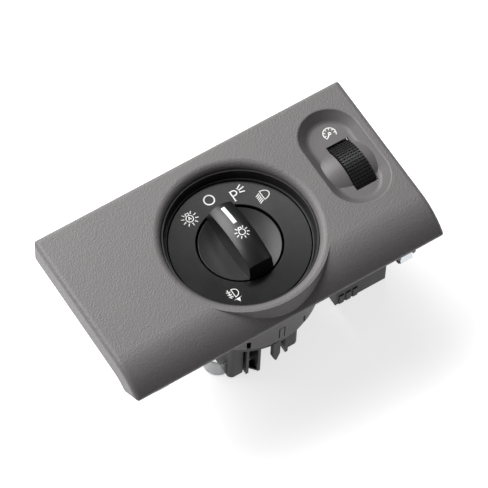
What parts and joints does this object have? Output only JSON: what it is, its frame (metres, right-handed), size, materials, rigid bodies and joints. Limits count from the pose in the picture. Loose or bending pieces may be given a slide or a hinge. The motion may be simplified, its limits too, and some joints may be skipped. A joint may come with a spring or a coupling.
{
  "type": "headlight switch",
  "caption": "Dashboard light-switch panel: a grained bezel with a rotary pull-out knob in a round bowl and a knurled dimmer thumbwheel in a scoop.",
  "frame": {"origin": "on the knob's axis, in the plane of the bezel's rear rim", "axes": "+Z out of the panel's face, +X along its long side towards the dimmer, +Y towards its upper edge"},
  "size_m": [0.165, 0.0904, 0.0739],
  "materials": {
    "bezel": "grained, soft satin",
    "black_plastic": "fine spark-eroded matt",
    "dial_black": "fine matt paint, printed signs",
    "knob_black": "soft satin paint",
    "wheel_black": "soft-touch, knurled",
    "white_plastic": "smooth opal",
    "clear_plastic": "clear, frosted",
    "natural_plastic": "unfilled moulding",
    "steel": "turned",
    "spring_steel": "zinc plated",
    "zinc": "zinc plated",
    "brass": "tinned brass strip",
    "copper": "beryllium copper strip",
    "board_brown": "phenolic board",
    "board_green": "lacquered board",
    "lamp": "small glass lamps"
  },
  "bodies": {
    "panel": {"bezel": "bezel", "spring_clips": "spring_steel", "front_ring": "black_plastic", "switch_housing": "black_plastic", "switch_screws": "zinc", "dial_plate": "dial_black", "dial_light_guide": "clear_plastic", "detent_plungers": "steel", "detent_springs": "spring_steel", "contact_board": "board_brown", "board_lamps": "lamp", "switch_rear_cover": "black_plastic", "switch_terminals": "brass", "terminal_lock": "clear_plastic", "dimmer_housing": "black_plastic", "dimmer_axle": "steel", "dimmer_board": "board_green", "gauge_light_guide": "clear_plastic", "dimmer_lamp": "lamp", "dimmer_rear_cover": "black_plastic", "dimmer_terminals": "brass", "dimmer_screws": "zinc"},
    "pull": {"pull_carrier": "natural_plastic"},
    "knob": {"knob": "knob_black", "pointer_light_guide": "white_plastic", "knob_spindle": "steel"},
    "rotor": {"detent_rotor": "natural_plastic", "rotor_contacts": "copper"},
    "dimmer": {"dimmer_wheel": "wheel_black", "dimmer_wiper": "copper"}
  },
  "joints": [
    {"name": "knob_pull", "type": "slide", "parent": "panel", "child": "pull", "axis": [0, 0, 1], "range_m": [0, 0.006]},
    {"name": "knob_turn", "type": "hinge", "parent": "pull", "child": "knob", "pos_m": [0, 0, 0], "axis": [0, 0, 1], "range_deg": [-60, 30]},
    {"name": "rotor_turn", "type": "hinge", "parent": "panel", "child": "rotor", "pos_m": [0, 0, -0.02], "axis": [0, 0, 1], "range_deg": [-60, 30]},
    {"name": "dimmer_turn", "type": "hinge", "parent": "panel", "child": "dimmer", "pos_m": [0.0649, 0.0062, -0.0067], "axis": [1, 0, 0], "range_deg": [-100, 100]}
  ],
  "couplings": [
    {"joint": "rotor_turn", "follows": "knob_turn", "ratio": 1}
  ]
}
